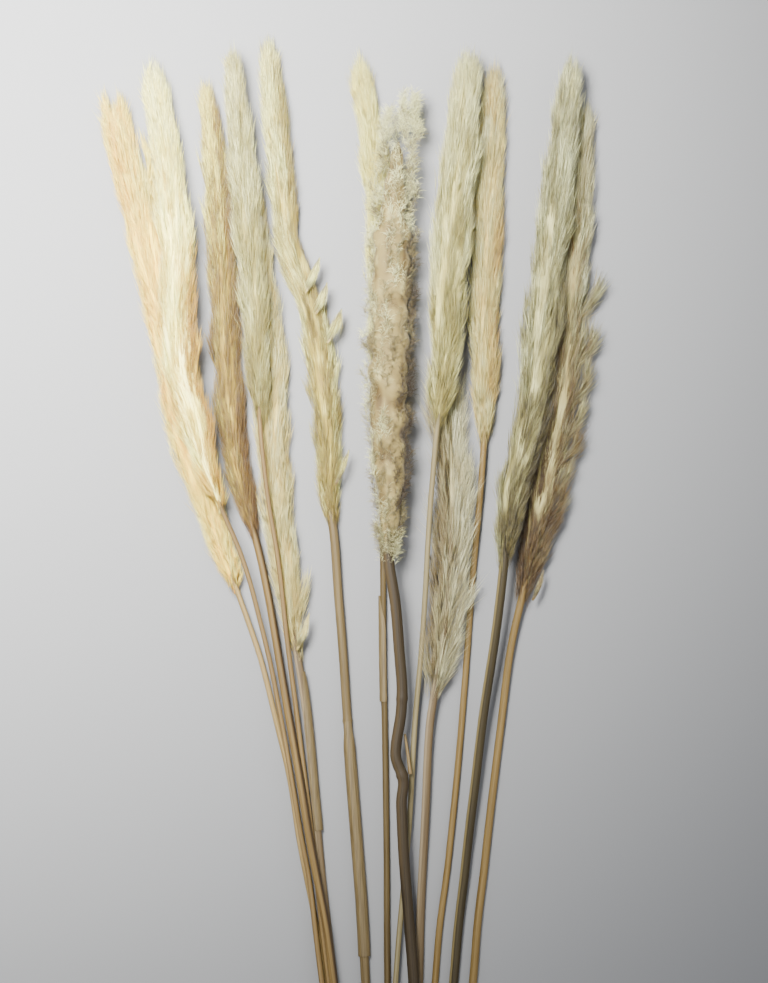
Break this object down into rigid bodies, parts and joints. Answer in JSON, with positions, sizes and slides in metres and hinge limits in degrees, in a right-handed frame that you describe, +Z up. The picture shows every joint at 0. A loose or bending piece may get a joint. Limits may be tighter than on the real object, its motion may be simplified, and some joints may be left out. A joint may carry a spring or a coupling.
{
  "type": "bundle of pampas grass",
  "caption": "Loose bundle of dried pampas grass lying flat: long feathery cream and beige plumes on thin straw-coloured stems that draw together towards their cut ends.",
  "frame": {"origin": "on the surface the bundle lies on, under the middle of its box", "axes": "+Y along the bundle towards the plume tips, +Z up from the surface, +X across the fan of stalks"},
  "size_m": [0.2992, 0.7247, 0.0378],
  "materials": {
    "plume_cream": "matte",
    "plume_ivory": "matte",
    "plume_woolly": "matte",
    "plume_khaki": "matte",
    "stem_straw": "satin",
    "stem_brown": "satin",
    "leaf_sheath": "satin",
    "bract": "matte"
  },
  "bodies": {
    "root": {"plume_01": "plume_cream", "stem_01": "stem_straw", "plume_02": "plume_cream", "stem_02": "stem_straw", "plume_03": "plume_cream", "stem_03": "stem_brown", "plume_04": "plume_ivory", "stem_04": "stem_straw", "plume_05": "plume_cream", "stem_05": "stem_straw", "plume_06": "plume_cream", "stem_06": "stem_straw", "plume_07": "plume_ivory", "stem_07": "stem_straw", "plume_08": "plume_woolly", "stem_08": "stem_brown", "plume_09": "plume_ivory", "stem_09": "stem_straw", "plume_10": "plume_cream", "stem_10": "stem_straw", "plume_11": "plume_ivory", "stem_11": "stem_straw", "plume_12": "plume_khaki", "stem_12": "stem_brown", "plume_13": "plume_khaki", "stem_13": "stem_straw", "leaf_sheath_05": "leaf_sheath", "leaf_sheath_06": "leaf_sheath", "leaf_sheath_07": "leaf_sheath", "bract_05a": "bract", "bract_06a": "bract", "bract_06b": "bract", "bract_06c": "bract", "bract_06d": "bract", "bract_13a": "bract", "side_shoot_08": "stem_straw"}
  },
  "joints": []
}
